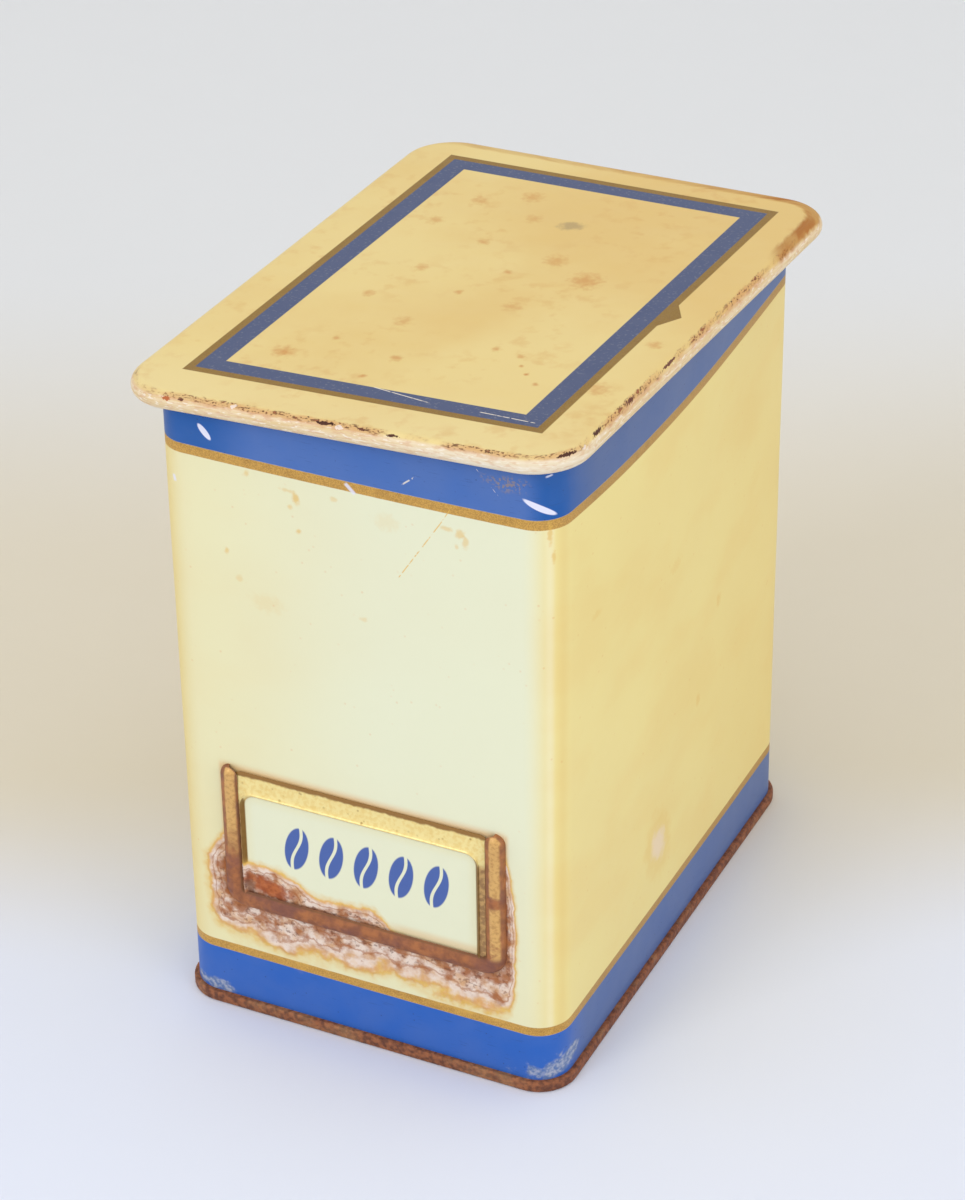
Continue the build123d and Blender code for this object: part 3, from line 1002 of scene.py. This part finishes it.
def holder_path():
    """Places along the middle of the U with their inward directions and how much dome is left."""
    leg_x = HOLDER_HALF - HOLDER_BEAD
    leg_top, bar_z = HOLDER_TOP - HOLDER_BEAD, HOLDER_BOTTOM + HOLDER_BEAD
    half = []  # from the middle of the bar to the top of the right leg
    for x in np.linspace(0, leg_x - HOLDER_TURN, 14):
        half.append((x, bar_z, 0.0, 1.0, 1.0))
    for angle in np.radians((15, 30, 45, 60, 75, 90)):
        x = leg_x - HOLDER_TURN + HOLDER_TURN * math.sin(angle)
        z = bar_z + HOLDER_TURN - HOLDER_TURN * math.cos(angle)
        half.append((x, z, -math.sin(angle), math.cos(angle), 1.0))
    for z in np.linspace(bar_z + HOLDER_TURN + 2, leg_top, 16):
        half.append((leg_x, z, -1.0, 0.0, 1.0))
    for angle in np.radians((15, 30, 45, 58, 70, 80, 88)):
        half.append((leg_x, leg_top + HOLDER_BEAD * math.sin(angle), -1.0, 0.0, math.cos(angle)))
    mirrored = [(-x, z, -way_x, way_z, dome) for x, z, way_x, way_z, dome in half[:0:-1]]
    return mirrored + half


def holder_section(dome):
    """Closed section of the hollow half-round: inward distance and height over the wall."""
    section = []
    for wide, high, turn in ((HOLDER_BEAD, HOLDER_PROUD, 1), (HOLDER_BEAD - SHEET, HOLDER_PROUD - SHEET, -1)):
        wide, high = wide * dome, high * dome
        lip = math.degrees(math.asin(min(1.0, LIP_GAP / high)))
        angles = np.radians(np.linspace(180, lip, 15)[::turn])
        section += [(wide * math.cos(a), high * math.sin(a)) for a in angles]
    return section


def make_holder():
    """Hollow half-round bent into a U, its legs closed by domes; the plate slides under its lips."""
    rows = []
    path = holder_path()
    travelled = 0.0
    for i, (x, z, way_x, way_z, dome) in enumerate(path):
        if i:
            travelled += math.dist(path[i - 1][:2], (x, z))
        points, spots, edges = [], [], []
        for inward, height in holder_section(dome):
            px, pz = x + HOLDER_SHIFT + way_x * inward, z + way_z * inward
            points.append((px, front_wall(px, pz) - height, pz))
            spots.append((px, pz, height))
            edges.append((travelled, inward, height))
        rows.append(Row(np.array(points), closed(np.array(spots)), closed(np.array(edges))))
    paint = holder_gold()
    show("Label_holder", rows, [paint], "tin", "gold_lacquer", "label_holder", caps=(True, True))


def make_plate():
    """Stamped plate: a border that rises towards the window, and the sunk window itself."""
    plate = ((0.0, (PLATE_BOTTOM + PLATE_TOP) / 2), (PLATE_HALF, (PLATE_TOP - PLATE_BOTTOM) / 2))
    window = (WINDOW_CENTRE, WINDOW_HALF)

    def row(share, inset, height, shrink=1.0):
        """Between the plate's outline at share 0 and the window's at 1, at a height over the back."""
        centre, half = (np.array(a) * (1 - share) + np.array(b) * share for a, b in zip(plate, window))
        places, _, lengths = outline(half - inset, PLATE_CORNER - inset * 0.6, (36, 24), 8)
        places = places * shrink + centre
        points = np.column_stack([places[:, 0], np.full(len(places), PLATE_Y - height), places[:, 1]])
        return Row(points, widened(closed(places), height), widened(lengths, inset, height))

    rows = [row(0, 0.3, 0.0, share) for share in (0.02, 0.5, 1.0)]
    rows += [row(0, 0.08, 0.05), row(0, 0.0, 0.2), row(0, 0.08, 0.36), row(0, 0.3, BORDER_LOW)]
    for share in (0.2, 0.4, 0.6, 0.8):
        rows.append(row(share, 0.3 * (1 - share), BORDER_LOW + BORDER_RISE * share ** 1.6))
    rows += [row(1, -0.9, 1.25), row(1, -0.7, 1.24), row(1, -0.4, 1.0), row(1, -0.1, 0.55), row(1, 0.15, 0.4)]
    rows += [row(1, 0.15, 0.4, share) for share in (0.97, 0.9, 0.7, 0.4, 0.02)]
    paint = plate_print()
    show("Label_plate", rows, [paint], "label", "plate_print", "label_plate", caps=(True, True))


# ---- floor, light and camera ----
def make_stage():
    """Pale sweep: a floor that curves up into a wall far behind, turned to face the camera, with painted
    light in its colour.
    """
    p = Paint("pale_sweep")
    node = p.nodes.new("ShaderNodeTexCoord")
    place, (_, depth, _) = p.split(node.outputs["Object"])
    # painted light: bluish white near, a beige band behind the tin and grey further back
    colour = p.mix(depth.above(0.01, 0.05), shade(221, 226, 241), shade(218, 209, 189))
    colour = p.mix(depth.above(0.27, 0.11), colour, shade(221, 222, 223))
    cloth = p.noise(60.0, 111, 3, place)
    p.finish(p.mix(cloth * 0.03, colour, shade(250, 250, 250)), 0.7)
    back, bend, top, half_wide = 0.7, 0.8, 3.0, 3.0  # metres
    profile = [(-2.5, 0.0), (-0.5, 0.0), (0.3, 0.0), (back, 0.0)]
    for a in np.radians(np.arange(6, 91, 6)):
        profile.append((back + bend * math.sin(a), bend - bend * math.cos(a)))
    profile.append((back + bend, top))
    count = len(profile)
    points = [(side, y, z) for side in (-half_wide, half_wide) for y, z in profile]
    faces = [(i, i + 1, count + i + 1, count + i) for i in range(count - 1)]
    mesh = bpy.data.meshes.new("Sweep")
    mesh.from_pydata(points, [], faces)
    mesh.materials.append(p.material)
    mesh.polygons.foreach_set("use_smooth", [True] * len(faces))
    sweep = add("Sweep", mesh)
    sweep.rotation_euler = (0, 0, math.radians(CAMERA_AZIMUTH))


def area_light(name, place, aim, size, power):
    data = bpy.data.lights.new(name, "AREA")
    data.shape = "RECTANGLE"
    data.size, data.size_y = size
    data.energy = power
    lamp = add(name, data)
    lamp.location = place
    lamp.rotation_euler = (Vector(aim) - Vector(place)).to_track_quat("-Z", "Y").to_euler()


def make_light():
    """A light tent: soft and nearly even, a little stronger from the front left and from above."""
    world = bpy.data.worlds.new("Light_tent")
    world.use_nodes = True
    background = world.node_tree.nodes["Background"]
    background.inputs["Color"].default_value = (1.0, 1.0, 1.0, 1)
    background.inputs["Strength"].default_value = 1.0
    bpy.context.scene.world = world
    middle = (0, 0, 0.09)
    area_light("Front_softbox", (-0.45, -1.2, 1.0), middle, (0.45, 0.45), 3.6)
    area_light("Right_softbox", (1.3, -0.5, 0.6), middle, (0.9, 0.9), 3.0)
    area_light("Top_softbox", (0.2, 0.2, 1.5), middle, (1.4, 1.4), 0.8)


CAMERA_AZIMUTH = 25.97
CAMERA_ELEVATION = 31.07
CAMERA_ROLL = -0.85
CAMERA_TARGET = (-0.00679, 0.00913, 0.080)
CAMERA_DISTANCE = 0.86112
CAMERA_LENS = 102.44


def make_camera():
    azimuth, elevation, roll = map(math.radians, (CAMERA_AZIMUTH, CAMERA_ELEVATION, CAMERA_ROLL))
    back = Vector((math.sin(azimuth), -math.cos(azimuth), math.tan(elevation))).normalized()
    right = Vector((0, 0, 1)).cross(back).normalized()
    up = back.cross(right)
    side = right * math.cos(roll) + up * math.sin(roll)
    upright = up * math.cos(roll) - right * math.sin(roll)
    data = bpy.data.cameras.new("Camera")
    data.lens = CAMERA_LENS
    data.sensor_width = 36
    data.clip_start, data.clip_end = 0.05, 20
    camera = add("Camera", data)
    turn = Matrix((side, upright, back)).transposed().to_4x4()
    camera.matrix_world = Matrix.Translation(Vector(CAMERA_TARGET) + back * CAMERA_DISTANCE) @ turn
    bpy.context.scene.camera = camera


make_body()
make_lock_seam()
make_base()
make_lid()
make_collar()
make_holder()
make_plate()
make_stage()
make_light()
make_camera()
bpy.context.scene.view_settings.view_transform = "Standard"
